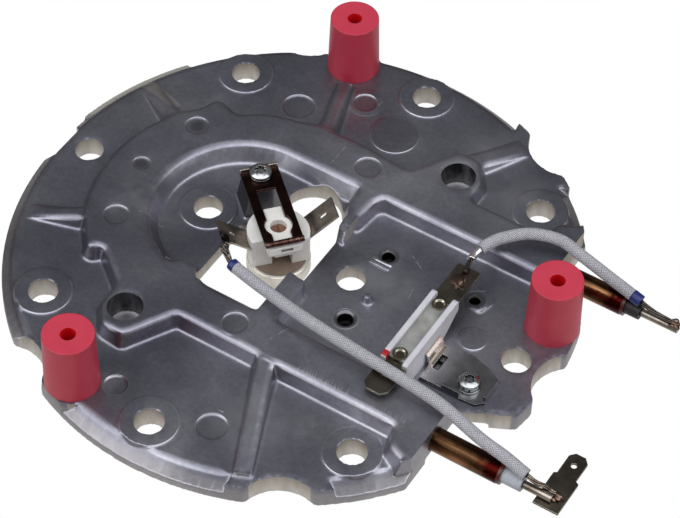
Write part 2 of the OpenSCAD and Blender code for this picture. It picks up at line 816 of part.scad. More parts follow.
module at_cutout() {
    translate([cutout_x, cutout_y, floor_z])
        children();
}

// Ceramic trough, open at both ends, with its underside cut away towards the far end
module cutout_body() {
    color([0.9, 0.9, 0.88])
        at_cutout()
            difference() {
                translate([cutout_w / 2, 0, 0])
                    rotate([0, -90, 0])
                        linear_extrude(cutout_w)
                            polygon([[0, -cutout_l / 2], [0, cutout_l * 0.18],
                                [cutout_h * 0.45, cutout_l * 0.42], [cutout_h * 0.6, cutout_l / 2],
                                [cutout_h * 0.96, cutout_l / 2],
                                [cutout_h, cutout_l / 2 - 0.75], [cutout_h, -cutout_l / 2 + 0.75],
                                [cutout_h * 0.96, -cutout_l / 2]]);
                translate([-cutout_w / 2 + cutout_wall, -cutout_l, lid_z - floor_z])
                    cube([cutout_w - 2 * cutout_wall, 2 * cutout_l, cutout_h]);
            }
}

module cutout_lid() {
    color([0.55, 0.55, 0.55])
        at_cutout()
            translate([-cutout_w / 2 + cutout_wall, -cutout_l / 2 + 1.5, lid_z - floor_z + blade_t])
                difference() {
                    cube([cutout_w - 2 * cutout_wall, cutout_l - 3.05, 0.55]);
                    for (y = [1.35, cutout_l - 4.4])
                        translate([cutout_w / 2 - cutout_wall, y, -past])
                            cylinder(d = rivet_d - 0.9, h = 3 * past);
                }
}

module cutout_rivets() {
    color([0.62, 0.58, 0.48])
        at_cutout()
            for (y = [-cutout_l / 2 + 2.9, cutout_l / 2 - 2.9])
                translate([0, y, lid_z - floor_z + blade_t + 0.55])
                    difference() {
                        cylinder(d = rivet_d, h = 0.55);
                        translate([0, 0, 0.19])
                            cylinder(d1 = rivet_d - 1.5, d2 = rivet_d - 0.75, h = 0.38);
                    }
}

// Flat blade that leaves the trough at one end; s is the end, w and l its free size
module cutout_blade(s, w, l, corner) {
    neck_w = cutout_w - 2 * cutout_wall - 2 * gap;
    at_cutout()
        translate([0, s * (cutout_l / 2 + l / 2), lid_z - floor_z])
            difference() {
                linear_extrude(blade_t) {
                    difference() {
                        translate([-w / 2, -l / 2])
                            square([w, l]);
                        for (x = [-1, 1])
                            translate([x * w / 2, s * l / 2])
                                rotate([0, 0, 45])
                                    square(corner * 1.414, center = true);
                    }
                    translate([-neck_w / 2, s > 0 ? -l / 2 - 6.85 : l / 2 - 0.1])
                        square([neck_w, 6.85 + 0.1]);
                }
                if (s < 0)
                    translate([0, 0, blade_t - dimple_h])
                        cylinder(d = 1.45, h = blade_t);
            }
}

module cutout_blade_rear() {
    color([0.33, 0.3, 0.26])
        cutout_blade(1, 6.25, 11.1, 0.4);
}

module cutout_blade_front() {
    color([0.38, 0.35, 0.3])
        cutout_blade(-1, 6.4, 8.95, 1.5);
}

// Bracket on the floor with two folded tabs
module cutout_bracket() {
    color([0.7, 0.7, 0.72])
        translate([0, 0, floor_z]) {
            linear_extrude(bracket_t)
                difference() {
                    polygon([[cutout_x + cutout_w / 2 + 1.05, -5.6], [49.8, -5], [52.45, -4.85], [56.75, -6.1],
                        [61.25, -8.2], [61.25, -15.35], [59.45, -17], [55.5, -17.35],
                        [cutout_x + cutout_w / 2 + 1.05, -17.35]]);
                    translate(bracket_screw)
                        circle(d = screw_d + 2 * gap);
                    for (y = [-10.35, -12.75])
                        translate([46.15, y])
                            square([1.15, 1.8]);
                }
            translate([61.25 - bracket_t, -15.2, 0])
                cube([bracket_t, 6.1, 2.6]);
            translate([50.85, -17.35, 0])
                cube([4.55, bracket_t, 2.6]);
            translate([45, -17.35, 0])
                cube([5.8, 0.46, 1.5]);
        }
}

module cutout_clip() {
    clip_x = cutout_x + cutout_w / 2;
    color([0.75, 0.66, 0.62])
        translate([0, -6.3, floor_z])
            rotate([90, 0, 0])
                linear_extrude(6.45)
                    polygon([[clip_x + 1.05, bracket_t], [clip_x + 2.3, bracket_t],
                        [clip_x + 2.3, bracket_t + 0.46], [clip_x + 1.5, bracket_t + 0.6],
                        [clip_x + 1.05, 3.5], [clip_x + 0.38, 4.1], [clip_x, 4.1], [clip_x, 3.65],
                        [clip_x + 0.46, 3.2], [clip_x + 0.85, bracket_t + 0.3]]);
}

module at_bracket_screw(z) {
    translate([each bracket_screw, floor_z + bracket_t + z])
        children();
}

module cutout_washer() {
    color([0.65, 0.65, 0.66])
        at_bracket_screw(0)
            difference() {
                cylinder(d = 5.6, h = 0.55);
                translate([0, 0, -past])
                    cylinder(d = screw_d + 2 * gap, h = 3 * past);
            }
}

// Split spring washer
module cutout_spring_washer() {
    color([0.7, 0.7, 0.72])
        at_bracket_screw(0.55)
            difference() {
                cylinder(d = 5, h = 0.9);
                translate([0, 0, -past])
                    cylinder(d = screw_d + 2 * gap, h = 3 * past);
                rotate([0, 0, -60])
                    translate([0, -0.19, -past])
                        cube([3.8, 0.38, 3 * past]);
            }
}

module cutout_screw() {
    color([0.75, 0.76, 0.78])
        at_bracket_screw(0)
            pan_screw(1.45, 4.95, 4.1);
}

module lead_sleeve(route, span) {
    color([0.75, 0.75, 0.78])
        difference() {
            cord(smooth(route, span[0], span[1], route_steps), sleeve_d, 12);
            cord(smooth(route, span[0] - 1, span[1] + 1, route_steps), wire_d, 8);
        }
}

module lead_wire(route) {
    color([0.6, 0.5, 0.42])
        cord(smooth(route, 0, len(route) - 1, route_steps), wire_d, 8);
}

// Inked band on the end of a sleeve
module lead_band(route, first, last) {
    color([0.12, 0.18, 0.55])
        difference() {
            cord([for (i = [first, last]) route[i]], sleeve_d - 0.3, 12);
            cord(smooth(route, max(first - 1, 0), last + 1, route_steps), wire_d + 0.05, 8);
        }
}

module long_lead_sleeve() {
    lead_sleeve(long_route, long_sleeved);
}

module long_lead_wire() {
    lead_wire(long_route);
}

module long_lead_band() {
    lead_band(long_route, 2, 3);
}

module short_lead_sleeve() {
    lead_sleeve(short_route, short_sleeved);
}

module short_lead_wire() {
    lead_wire(short_route);
}

module short_lead_band() {
    lead_band(short_route, 11, 12);
}

heater_plate();
tube_sheath();
magnesia_fill();
resistance_coil();
pin_near();
pin_far();
seal_near();
seal_far();
insulator_near();
insulator_far();
terminal_tab();
spacer_left();
spacer_rear();
spacer_right();
control_cup();
control_bimetal();
control_disc();
control_body();
control_blade_left();
control_blade_right();
control_adjuster();
control_clamp();
control_washer();
control_screw();
cutout_body();
cutout_lid();
cutout_rivets();
cutout_blade_rear();
cutout_blade_front();
cutout_bracket();
cutout_clip();
cutout_washer();
cutout_spring_washer();
cutout_screw();
long_lead_sleeve();
long_lead_wire();
long_lead_band();
short_lead_sleeve();
short_lead_wire();
short_lead_band();
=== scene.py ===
# Looks for the cast heater plate: camera, light, materials, sleeved leads, welds and casting detail.
import math
import random

import bmesh
import bpy
import numpy as np
from mathutils import Matrix, Vector


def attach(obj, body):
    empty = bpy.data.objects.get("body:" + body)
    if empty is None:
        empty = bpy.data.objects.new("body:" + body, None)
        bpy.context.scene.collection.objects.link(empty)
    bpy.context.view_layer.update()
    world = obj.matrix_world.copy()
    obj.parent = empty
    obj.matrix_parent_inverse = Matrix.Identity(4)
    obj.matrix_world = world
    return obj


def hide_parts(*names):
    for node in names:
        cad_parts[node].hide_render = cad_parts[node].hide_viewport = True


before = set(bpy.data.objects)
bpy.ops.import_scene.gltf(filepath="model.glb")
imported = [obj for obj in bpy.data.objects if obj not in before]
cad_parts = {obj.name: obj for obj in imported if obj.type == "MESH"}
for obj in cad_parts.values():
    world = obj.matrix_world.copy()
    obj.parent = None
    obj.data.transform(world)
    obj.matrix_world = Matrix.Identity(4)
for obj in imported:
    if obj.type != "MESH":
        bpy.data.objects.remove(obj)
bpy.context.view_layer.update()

MM = 0.001

# Camera: the direction it looks in, its turn about that line, its distance from the row's origin,
# and where the origin falls in the picture, in pixels
CAMERA_AZIMUTH = 31.25
CAMERA_ELEVATION = 49.51
CAMERA_ROLL = 1.43
CAMERA_DISTANCE = 0.6152
CAMERA_LENS = 135.2
SENSOR_WIDTH = 36.0
PICTURE_SIZE = (680, 518)
ORIGIN_PIXEL = (295.6, 266.4)


def camera_axes():
    """The camera's right, up and backward directions."""
    a, e, r = (math.radians(x) for x in (CAMERA_AZIMUTH, CAMERA_ELEVATION, CAMERA_ROLL))
    forward = Vector((-math.sin(a) * math.cos(e), math.cos(a) * math.cos(e), -math.sin(e)))
    level = forward.cross(Vector((0, 0, 1))).normalized()
    upright = level.cross(forward)
    right = level * math.cos(r) + upright * math.sin(r)
    return right, right.cross(forward), -forward


def make_camera():
    right, up, back = camera_axes()
    data = bpy.data.cameras.new("camera")
    data.lens = CAMERA_LENS
    data.sensor_width = SENSOR_WIDTH
    data.clip_start, data.clip_end = 0.05, 20
    cam = bpy.data.objects.new("camera", data)
    bpy.context.scene.collection.objects.link(cam)
    focal = CAMERA_LENS / SENSOR_WIDTH * PICTURE_SIZE[0]
    across = (ORIGIN_PIXEL[0] - PICTURE_SIZE[0] / 2) / focal
    down = (ORIGIN_PIXEL[1] - PICTURE_SIZE[1] / 2) / focal
    ray = (-back + across * right - down * up).normalized()
    place = -ray * CAMERA_DISTANCE
    cam.matrix_world = Matrix((
        (right.x, up.x, back.x, place.x),
        (right.y, up.y, back.y, place.y),
        (right.z, up.z, back.z, place.z),
        (0, 0, 0, 1),
    ))
    bpy.context.scene.camera = cam


make_camera()


# Node helpers

class Nodes:
    """A node tree, with short calls for what the looks below use."""

    def __init__(self, tree, space):
        self.tree = tree
        self.space = tree.nodes.new("ShaderNodeTexCoord").outputs[space]

    def add(self, kind, inputs=None, **settings):
        n = self.tree.nodes.new("ShaderNode" + kind)
        for key, value in settings.items():
            setattr(n, key, value)
        for key, value in (inputs or {}).items():
            self.feed(value, n.inputs[key])
        return n

    def feed(self, value, socket):
        if isinstance(value, bpy.types.NodeSocket):
            self.tree.links.new(value, socket)
        elif isinstance(value, (tuple, list)) and len(value) == 3 and socket.type == "RGBA":
            socket.default_value = (*value, 1)
        else:
            socket.default_value = value

    def noise(self, scale, detail=4, rough=0.55, space=None, stretch=None):
        space = space or self.space
        if stretch:
            space = self.add("Mapping", {"Vector": space, "Scale": stretch}).outputs[0]
        return self.add("TexNoise", {"Vector": space, "Scale": scale, "Detail": detail,
                                     "Roughness": rough}).outputs["Fac"]

    def ramp(self, value, *stops):
        n = self.add("ValToRGB", {"Fac": value})
        line = n.color_ramp.elements
        while len(line) < len(stops):
            line.new(0.5)
        for spot, (at, colour) in zip(line, stops):
            spot.position = at
            spot.color = (*colour, 1) if isinstance(colour, (tuple, list)) else (colour, colour, colour, 1)
        return n.outputs["Color"]

    def mix(self, factor, a, b, mode="MIX"):
        n = self.add("Mix", data_type="RGBA", blend_type=mode)
        self.feed(factor, n.inputs[0])
        self.feed(a, n.inputs[6])
        self.feed(b, n.inputs[7])
        return n.outputs[2]

    def math(self, operation, a, b=0.0):
        n = self.add("Math", operation=operation)
        self.feed(a, n.inputs[0])
        self.feed(b, n.inputs[1])
        return n.outputs[0]

    def times(self, first, *others):
        for other in others:
            first = self.math("MULTIPLY", first, other)
        return first

    def most(self, first, *others):
        for other in others:
            first = self.math("MAXIMUM", first, other)
        return first

    def rest(self, value):
        return self.math("SUBTRACT", 1.0, value)

    def axis(self, vector, name):
        return self.add("SeparateXYZ", {"Vector": vector}).outputs[name]

    def normal(self, kind="Normal"):
        return self.add("NewGeometry").outputs[kind]

    def span(self, value, low, high, out_low=0.0, out_high=1.0, smooth=False):
        """A value between low and high, as a share or between two results, held there at both ends."""
        return self.add("MapRange", {"Value": value, "From Min": low, "From Max": high, "To Min": out_low,
                                     "To Max": out_high},
                        interpolation_type="SMOOTHSTEP" if smooth else "LINEAR").outputs[0]

    def local(self, place, turn):
        """Coordinates in a frame at a place of the row, turned about the upright axis, in degrees."""
        moved = self.add("VectorMath", {0: self.space, 1: (*place, 0)}, operation="SUBTRACT").outputs[0]
        return self.add("VectorRotate", {"Vector": moved, "Angle": -math.radians(turn)},
                        rotation_type="Z_AXIS").outputs[0]

    def within(self, space, low, high, soft):
        """1 inside a box, falling to 0 over the soft width outside it."""
        mid = [(a + b) / 2 for a, b in zip(low, high)]
        half = [(b - a) / 2 for a, b in zip(low, high)]
        off = self.add("VectorMath", {0: space, 1: mid}, operation="SUBTRACT").outputs[0]
        off = self.add("VectorMath", {0: off}, operation="ABSOLUTE").outputs[0]
        off = self.add("VectorMath", {0: off, 1: half}, operation="SUBTRACT").outputs[0]
        x, y, z = self.add("SeparateXYZ", {"Vector": off}).outputs
        return self.span(self.most(x, y, z), soft, 0.0)

    def bump(self, height, distance, strength=1.0, normal=None):
        inputs = {"Height": height, "Distance": distance, "Strength": strength}
        if normal:
            inputs["Normal"] = normal
        return self.add("Bump", inputs).outputs[0]


ROUGHNESS_SPREAD = 0.06


class Look(Nodes):
    """A material with a principled shader."""

    def __init__(self, name):
        self.mat = bpy.data.materials.new(name)
        self.mat.use_nodes = True
        super().__init__(self.mat.node_tree, "Object")
        self.shader = self.tree.nodes["Principled BSDF"]

    def set(self, **inputs):
        for key, value in inputs.items():
            self.feed(value, self.shader.inputs[key.replace("_", " ")])

    def edge(self, radius):
        """Softened normal along sharp edges."""
        return self.add("Bevel", {"Radius": radius}, samples=6).outputs[0]


def metal(name, dark, light, rough, grain=900, bump=0.00002, edge=0.00015, edge_tone=None, corner_shade=0.0, finish=None):
    """Metal with a slow change of tone, a fine grain and softened edges. The edge colour is painted along its
    edges, as a painted highlight where it is lighter than the metal; the corner reach is how far painted shade
    darkens its corners; finish may change the colour."""
    n = Look(name)
    tone = n.ramp(n.noise(140, 5), (0.35, dark), (0.65, light))
    round_normal = n.edge(edge)
    if edge_tone:
        # Edge colour laid along the edges by the bevel: a painted highlight where it is lighter than the metal
        same = n.add("VectorMath", {0: round_normal, 1: n.normal()}, operation="DOT_PRODUCT").outputs["Value"]
        tone = n.mix(n.ramp(same, (0.80, 1.0), (0.985, 0.0)), tone, edge_tone)
    if finish:
        tone = finish(n, tone)
    if corner_shade:
        # Painted shade: the colour darkens in corners and recesses
        open_sky = n.add("AmbientOcclusion", {"Distance": corner_shade}, samples=8).outputs["AO"]
        tone = n.mix(n.ramp(open_sky, (0.45, 0.04), (0.92, 1.0)), (0.0, 0.0, 0.0), tone)
    n.set(Base_Color=tone, Metallic=1.0)
    worn_smooth, dull = rough - ROUGHNESS_SPREAD, rough + ROUGHNESS_SPREAD
    n.set(Roughness=n.ramp(n.noise(grain * 0.4, 3), (0.3, worn_smooth), (0.7, dull)))
    n.set(Normal=n.bump(n.noise(grain, 3), bump, 0.6, round_normal))
    return n.mat


def matte(name, dark, light, rough, edge=0.0002, finish=None):
    """Ceramic, rubber or plastic with a slight mottle; finish may change the colour."""
    n = Look(name)
    tone = n.ramp(n.noise(160, 5), (0.3, dark), (0.7, light))
    n.set(Base_Color=finish(n, tone) if finish else tone, Roughness=rough)
    n.set(Normal=n.bump(n.noise(1500, 4), 0.00003, 0.5, n.edge(edge)))
    return n.mat


def distances(n, spots):
    """How far a point is from each of the upright axes through the spots."""
    flat = n.add("VectorMath", {0: n.space, 1: (1, 1, 0)}, operation="MULTIPLY").outputs[0]
    return [n.add("VectorMath", {0: flat, 1: (x, y, 0)}, operation="DISTANCE").outputs["Value"] for x, y in spots]


def least(n, values):
    first, *others = values
    for other in others:
        first = n.math("MINIMUM", first, other)
    return first


def near(n, spots, radius, soft):
    """1 within a radius of any of the upright axes through the spots, falling to 0 over the soft width."""
    return n.span(least(n, distances(n, spots)), radius + soft, radius)


def rings(n, circles, width):
    """How close a point is to any of the upright cylinders x, y, radius (1 on one, 0 at the width), and whether it
    is inside one."""
    away = distances(n, [(x, y) for x, y, _ in circles])
    signed = [n.math("SUBTRACT", d, radius) for d, (_, _, radius) in zip(away, circles)]
    closest = least(n, [n.math("ABSOLUTE", d) for d in signed])
    return n.span(closest, width, 0.0), n.math("LESS_THAN", least(n, signed), 0.0)


def around(angles, radius):
    return [(radius * math.cos(math.radians(a)), radius * math.sin(math.radians(a))) for a in angles]


# Places on the casting, in metres: holes and posts as x, y, rings as x, y, radius, and boxes as two corners
DEEP_HOLES = [(0.022, 0.0388), (-0.022, -0.0388)]
TAPPED_HOLES = [(0.01955, 0.01065), (0.02105, -0.0111), (0.0438, 0.01005)]
POST = (-0.0158, 0.0079)
BOSS = (0.02265, -0.0038)
PAD_R = 0.00685
PAD_RINGS = [(x, y, PAD_R) for x, y in around((45, 90, 135, -45, -90, -135), 0.0608)] + [(-0.02525, 0.0, PAD_R)]
MARK_RINGS = [(-0.04065, 0.01785, 0.00305), (-0.0403, -0.01685, 0.0032), (0.00215, 0.0291, 0.00345),
              (0.00215, -0.02905, 0.0032), (-0.04485, 0.0, 0.0023), (-0.02545, 0.04065, 0.0042),
              (0.01255, -0.0541, 0.0038), (-0.01255, -0.05625, 0.0029), (-0.012, 0.05075, 0.00305),
              (0.04925, -0.00023, 0.0032), (0.0, 0.0453, 0.00605), (0.02265, -0.0038, 0.0008),
              (0.02105, -0.0111, 0.0031), (0.01955, 0.01065, 0.0024)]
RIDGES = [((0.0167, 0.00685, 0.0055), (0.02165, 0.0074, 0.0063)),
          ((0.0167, 0.00805, 0.0055), (0.02165, 0.0086, 0.0063))]
ARM_END = ((0.0469, -0.0450, 0), (0.0760, -0.0215, 0.02))
BLOCK = ((0.0041, -0.0230, 0.0056), (0.0100, -0.0086, 0.02))
REAR_LEFT = ((-0.08, 0.012, -1), (-0.03, 0.08, 1))
RIM_R = 0.0692

# What marks its skin. Combs of hair scratches and single ones: place, turn, half length
SCUFFS = [((0.0286, -0.0322), 0, 0.0068), ((0.0470, -0.0320), -4, 0.0030)]
SCRATCHES = [((-0.00617, 0.0285), 90, 0.0034), ((-0.0087, 0.0521), 86, 0.0014), ((0.0125, -0.0262), 70, 0.0026),
             ((-0.0335, -0.0120), 20, 0.0030), ((0.0300, 0.0036), 100, 0.0016), ((0.0262, 0.0128), 150, 0.0022)]
# The lowest z of a mark on the upper side
UPPER_SIDE = 0.003
# Pale clouds, those on the right painted light falling from that side; dimples; the slope of a rib, painted as
# lit; smears
PALE = [(0.0220, 0.0498), (0.0380, 0.0400), (0.0200, 0.0040), (0.0207, -0.0467), (-0.0362, -0.0086)]
DIMPLES = [(-0.04065, 0.01785), (-0.0452, 0.0004)]
LIT_SLOPE = ((-0.0563, 0.0250), -16)
STAINS = [(-0.0140, -0.0563), (0.0311, -0.0420), (-0.0560, 0.0240)]

# Tones of the skin, of what was cut afterwards, of the deep holes' walls, dark as painted shade, and of the cut
# walls by height
SKIN_TONES = (0.30, (0.165, 0.165, 0.205)), (0.52, (0.25, 0.25, 0.295)), (0.72, (0.40, 0.40, 0.445))
BARE_TONES = (0.3, (0.42, 0.40, 0.375)), (0.5, (0.53, 0.51, 0.48)), (0.7, (0.63, 0.61, 0.58))
SHAFT_SHADE_TONES = (0.35, (0.04, 0.04, 0.045)), (0.65, (0.26, 0.26, 0.27))
RISE_TONES = (0.15, (1.10, 1.10, 1.10)), (0.55, (0.74, 0.71, 0.68))


def casting_lines(n, facing):
    """The lips of the pads, marks and ridges, and the inside of the marks."""
    pad, _ = rings(n, PAD_RINGS, 0.00022)
    mark, in_mark = rings(n, MARK_RINGS, 0.0002)
    ridge = n.most(*(n.within(n.space, *corners, 0.0002) for corners in RIDGES))
    faint = n.ramp(n.noise(120, 3, 0.6), (0.35, 0.25), (0.62, 1.0))
    lip = n.times(n.most(pad, mark), faint, n.ramp(facing, (0.6, 0.0), (0.9, 1.0)))
    return n.most(lip, ridge), in_mark


def scratched(n, skin):
    for at, turn, length in SCUFFS:
        here = n.local(at, turn)
        x, y, _ = n.add("SeparateXYZ", {"Vector": here}).outputs
        along = n.add("CombineXYZ", {"X": n.math("ADD", x, n.times(y, 0.25))}).outputs[0]
        reach = n.span(n.noise(900, 2, 0.5, along), 0.35, 0.62, 0.0003, 0.0021)
        fade = n.rest(n.math("DIVIDE", y, reach))
        hair = n.times(n.ramp(n.noise(3000, 2, 0.6, along), (0.50, 0.0), (0.58, 1.0)),
                       n.within(here, (-length, -0.0002, UPPER_SIDE), (length, 0.0022, 1), 0.0003))
        skin = n.mix(n.times(hair, n.most(fade, 0.0)), skin, (0.62, 0.62, 0.66))
    frayed = n.ramp(n.noise(700, 4, 0.65), (0.44, 0.0), (0.54, 1.0))
    for at, turn, length in SCRATCHES:
        line = n.within(n.local(at, turn), (-length, -0.00005, UPPER_SIDE), (length, 0.00005, 1), 0.00012)
        skin = n.mix(n.times(line, frayed, 0.8), skin, (0.66, 0.66, 0.70))
    return skin


def stains_and_painted_light(n, skin, facing):
    """Pale clouds, those on the right painted light falling from that side, dark dimples, painted light on the
    slope of a rib, and smears.
    """
    pale = n.times(near(n, PALE, 0.004, 0.010), n.ramp(n.noise(110, 4, 0.6), (0.34, 0.15), (0.64, 1.0)))
    skin = n.mix(n.times(pale, 0.75), skin, (0.42, 0.42, 0.465))
    dimple = n.times(near(n, DIMPLES, 0.0012, 0.0010), n.ramp(facing, (0.0, 0.0), (0.5, 0.55)))
    skin = n.mix(dimple, skin, (0.07, 0.07, 0.08))
    # Painted light on the slope of a rib
    lit_slope = n.within(n.local(*LIT_SLOPE), (-0.0062, -0.0019, UPPER_SIDE), (0.0056, 0.0013, 1), 0.0003)
    skin = n.mix(n.times(lit_slope, 0.6), skin, (0.62, 0.59, 0.56))
    smear = n.times(near(n, STAINS, 0.0006, 0.0055), n.ramp(n.noise(190, 4, 0.6), (0.42, 0.0), (0.62, 1.0)))
    return n.mix(n.times(smear, 0.55), skin, (0.46, 0.46, 0.49))


def cast_aluminium():
    """Glossy skin of a die casting with stains, flow marks and painted light and shade. What was cut afterwards is
    pale and dull.
    """
    n = Look("cast_aluminium")
    z = n.axis(n.space, "Z")
    z_cm = n.times(z, 100.0)
    normal = n.normal()
    facing = n.axis(normal, "Z")

    fleck = n.ramp(n.noise(900, 3, 0.6), (0.35, 0.90), (0.7, 1.08))
    skin = n.mix(1.0, n.ramp(n.noise(30, 5, 0.55), *SKIN_TONES), fleck, "MULTIPLY")
    lip, in_mark = casting_lines(n, facing)
    skin = n.mix(n.times(in_mark, 0.22), skin, (0.10, 0.10, 0.11))
    # Painted highlight: the lips of the pads, marks and ridges are painted lighter where they face up
    skin = n.mix(n.times(lip, 0.45), skin, (0.60, 0.60, 0.65))
    skin = stains_and_painted_light(n, scratched(n, skin), facing)

    # Upright walls were cut, apart from the post, the boss, the block, the near arm's end and the outer rim
    upright = n.ramp(n.math("ABSOLUTE", facing), (0.30, 1.0), (0.55, 0.0))
    cut = n.add("Attribute", attribute_name="cut").outputs["Fac"]
    deep = near(n, DEEP_HOLES, 0.006, 0.001)
    at_post = near(n, [POST], 0.0075, 0.001)
    cast = n.most(at_post, near(n, [BOSS], 0.002, 0.0005),
                  *(n.within(n.space, *corners, 0.0003) for corners in (BLOCK, ARM_END)),
                  n.rest(near(n, [(0, 0)], RIM_R, 0.0003)))
    wall = n.times(upright, cut, n.rest(n.most(deep, cast)))
    low = n.ramp(z_cm, (0.40, 1.0), (0.46, 0.0))
    ledge = n.times(low, n.within(n.space, *REAR_LEFT, 0.004), n.ramp(facing, (0.6, 0.0), (0.8, 1.0)))
    machined = n.most(wall, n.times(low, 0.25))
    streak = n.noise(300, 4, 0.6, stretch=(1, 1, 0.3))
    bare = n.mix(1.0, n.ramp(streak, *BARE_TONES), n.ramp(z_cm, *RISE_TONES), "MULTIPLY")

    # Painted shade: the cut walls of the deep holes are painted dark
    skin = n.mix(n.times(upright, cut, deep), skin, n.ramp(streak, *SHAFT_SHADE_TONES))
    # Painted shade: the tapped holes and their countersinks are painted dark
    skin = n.mix(n.times(near(n, TAPPED_HOLES, 0.0024, 0.0004), 0.7), skin, (0.10, 0.10, 0.11))
    # Painted shade on the post's upright walls, under the clamp
    skin = n.mix(n.times(at_post, upright, 0.75), skin, (0.06, 0.06, 0.07))
    # Painted shade: black inside the tapped holes below the floor
    dark = n.times(near(n, TAPPED_HOLES, 0.0021, 0.0003), n.math("LESS_THAN", z, 0.0052))
    tone = n.mix(ledge, n.mix(machined, skin, bare), (0.50, 0.485, 0.45))
    n.set(Base_Color=n.mix(dark, tone, (0.01, 0.01, 0.01)), Metallic=0.95)

    gloss = n.ramp(n.noise(45, 6, 0.65), (0.3, 0.26), (0.7, 0.46))
    n.set(Roughness=n.mix(ledge, n.mix(machined, gloss, (0.55, 0.55, 0.55)), (0.75, 0.75, 0.75)))
    grain = n.math("ADD", n.times(n.noise(260, 4, 0.6), 0.06), n.times(n.noise(1800, 2, 0.5), 0.02))
    height = n.math("ADD", n.math("ADD", n.noise(22, 3, 0.5), grain), n.times(lip, 0.28))
    level = n.times(cut, n.ramp(facing, (0.35, 0.0), (0.45, 1.0)))
    n.set(Normal=n.bump(height, 0.0006, 0.4, n.mix(level, normal, (0.0, 0.0, 1.0))))
    return n.mat


THREADS_ROUND = 16.0
THREADS_PER_METRE = 1500.0


def sleeve_weave():
    """Braided glass-fibre sleeve; u runs once round it, v is metres along it."""
    n = Look("sleeve_weave")
    u, v, _ = n.add("SeparateXYZ", {"Vector": n.add("TexCoord").outputs["UV"]}).outputs
    across, along = n.times(u, THREADS_ROUND), n.times(v, THREADS_PER_METRE)
    one, two = (n.math("ABSOLUTE", n.math("SINE", n.times(n.math(way, across, along), math.pi)))
                for way in ("ADD", "SUBTRACT"))
    weave = n.times(one, two)
    speck = n.ramp(n.noise(900, 4, 0.65), (0.35, 0.0), (0.65, 1.0))
    colour = n.ramp(weave, (0.0, (0.17, 0.17, 0.195)), (0.35, (0.35, 0.35, 0.385)), (1.0, (0.56, 0.56, 0.61)))
    n.set(Base_Color=n.mix(n.times(speck, 0.25), colour, (0.60, 0.60, 0.63)), Roughness=0.5)
    n.set(Normal=n.bump(weave, 0.00018, 0.8))
    return n.mat


# Finishes, and painted light and shade, that depend on the place on a piece

CONTROL_PLACE, CONTROL_TURN = (-0.00335, -0.00235), -41.7
TUBE_END = 0.0734
SPACERS = around((-109.7, 109.7, 12), 0.0642)
CONTROL_WELD = (-0.0112, -0.0135)


def burnt_end(n, tone):
    """Streaks along the tube, and the red sealing paint that ran back from its end."""
    streaks = n.ramp(n.noise(420, 4, 0.6, stretch=(0.05, 1, 1)), (0.36, 0.35), (0.50, 1.0), (0.60, 2.2))
    tone = n.mix(1.0, tone, streaks, "MULTIPLY")
    run = n.math("ADD", n.axis(n.space, "X"), n.times(n.noise(300, 4, 0.6), 0.009))
    return n.mix(n.span(run, TUBE_END - 0.0008, TUBE_END + 0.0022), tone, (0.038, 0.003, 0.002))


def clamp_highlight_and_tint(n, tone):
    """Painted highlight on the ends of the far tabs, and a brown heat-tinted roll."""
    here = n.local(CONTROL_PLACE, CONTROL_TURN)
    # Painted highlight: the ends of the far tabs are pale
    tab_highlight = n.within(here, (-0.0190, -0.01, 0.0158), (-0.0176, 0.01, 0.02), 0.0002)
    roll = n.within(here, (0.0050, -0.01, 0), (0.0070, 0.01, 0.02), 0.0003)
    brown = n.ramp(n.noise(900, 4, 0.65), (0.35, (0.04, 0.016, 0.012)), (0.55, (0.10, 0.048, 0.038)),
                   (0.70, (0.26, 0.17, 0.145)))
    return n.mix(tab_highlight, n.mix(roll, tone, brown), (0.55, 0.53, 0.50))


def housing_slot_shade(n, tone):
    """Painted shade in the slot in the arch at the near end."""
    here = n.local(CONTROL_PLACE, CONTROL_TURN)
    slot_shade = n.within(here, (0.0052, -0.0009, 0.01265), (0.0070, 0.00185, 0.01345), 0.0001)
    return n.mix(slot_shade, tone, (0.035, 0.018, 0.012))


def disc_finish(n, tone):
    """Dark line where the disc meets its cup."""
    rim, _ = rings(n, [(*CONTROL_PLACE, 0.0071)], 0.0003)
    return n.mix(n.times(rim, 0.85), tone, (0.02, 0.013, 0.01))


def trough_finish(n, tone):
    """Red paint mark on the near end of the trough's inner wall."""
    mark = n.within(n.space, (0.0360, -0.0208, 0.0120), (0.0388, -0.0193, 0.02), 0.0002)
    return n.mix(mark, tone, (0.36, 0.004, 0.012))


def rivet_finish(n, tone):
    """Dark olive flat top in a lighter rolled rim."""
    return n.mix(n.ramp(n.axis(n.normal(), "Z"), (0.97, 0.0), (0.99, 1.0)), tone, (0.15, 0.13, 0.095))


def bracket_light_and_shade(n, tone):
    """Painted shade on the near sides, painted light on the left that falls to painted shade on the right, and the
    two slots beside the clip painted black as shade.
    """
    toward = n.times(n.axis(n.normal("True Normal"), "Y"), -1.0)
    # Painted shade on the sides that face the near side
    tone = n.mix(n.ramp(toward, (0.5, 0.0), (0.7, 1.0)), tone, (0.05, 0.05, 0.06))
    shade = n.span(n.axis(n.space, "X"), 0.0475, 0.0515)
    # Painted light on the left, falling to painted shade on the right
    tone = n.mix(1.0, tone, n.mix(shade, (1.35, 1.35, 1.35), (0.62, 0.62, 0.62)), "MULTIPLY")
    # The two slots beside the clip are painted black as shade
    slot_shadows = n.within(n.space, (0.0459, -0.01285, 0), (0.0474, -0.0085, 0.02), 0.00015)
    return n.mix(slot_shadows, tone, (0.01, 0.01, 0.01))


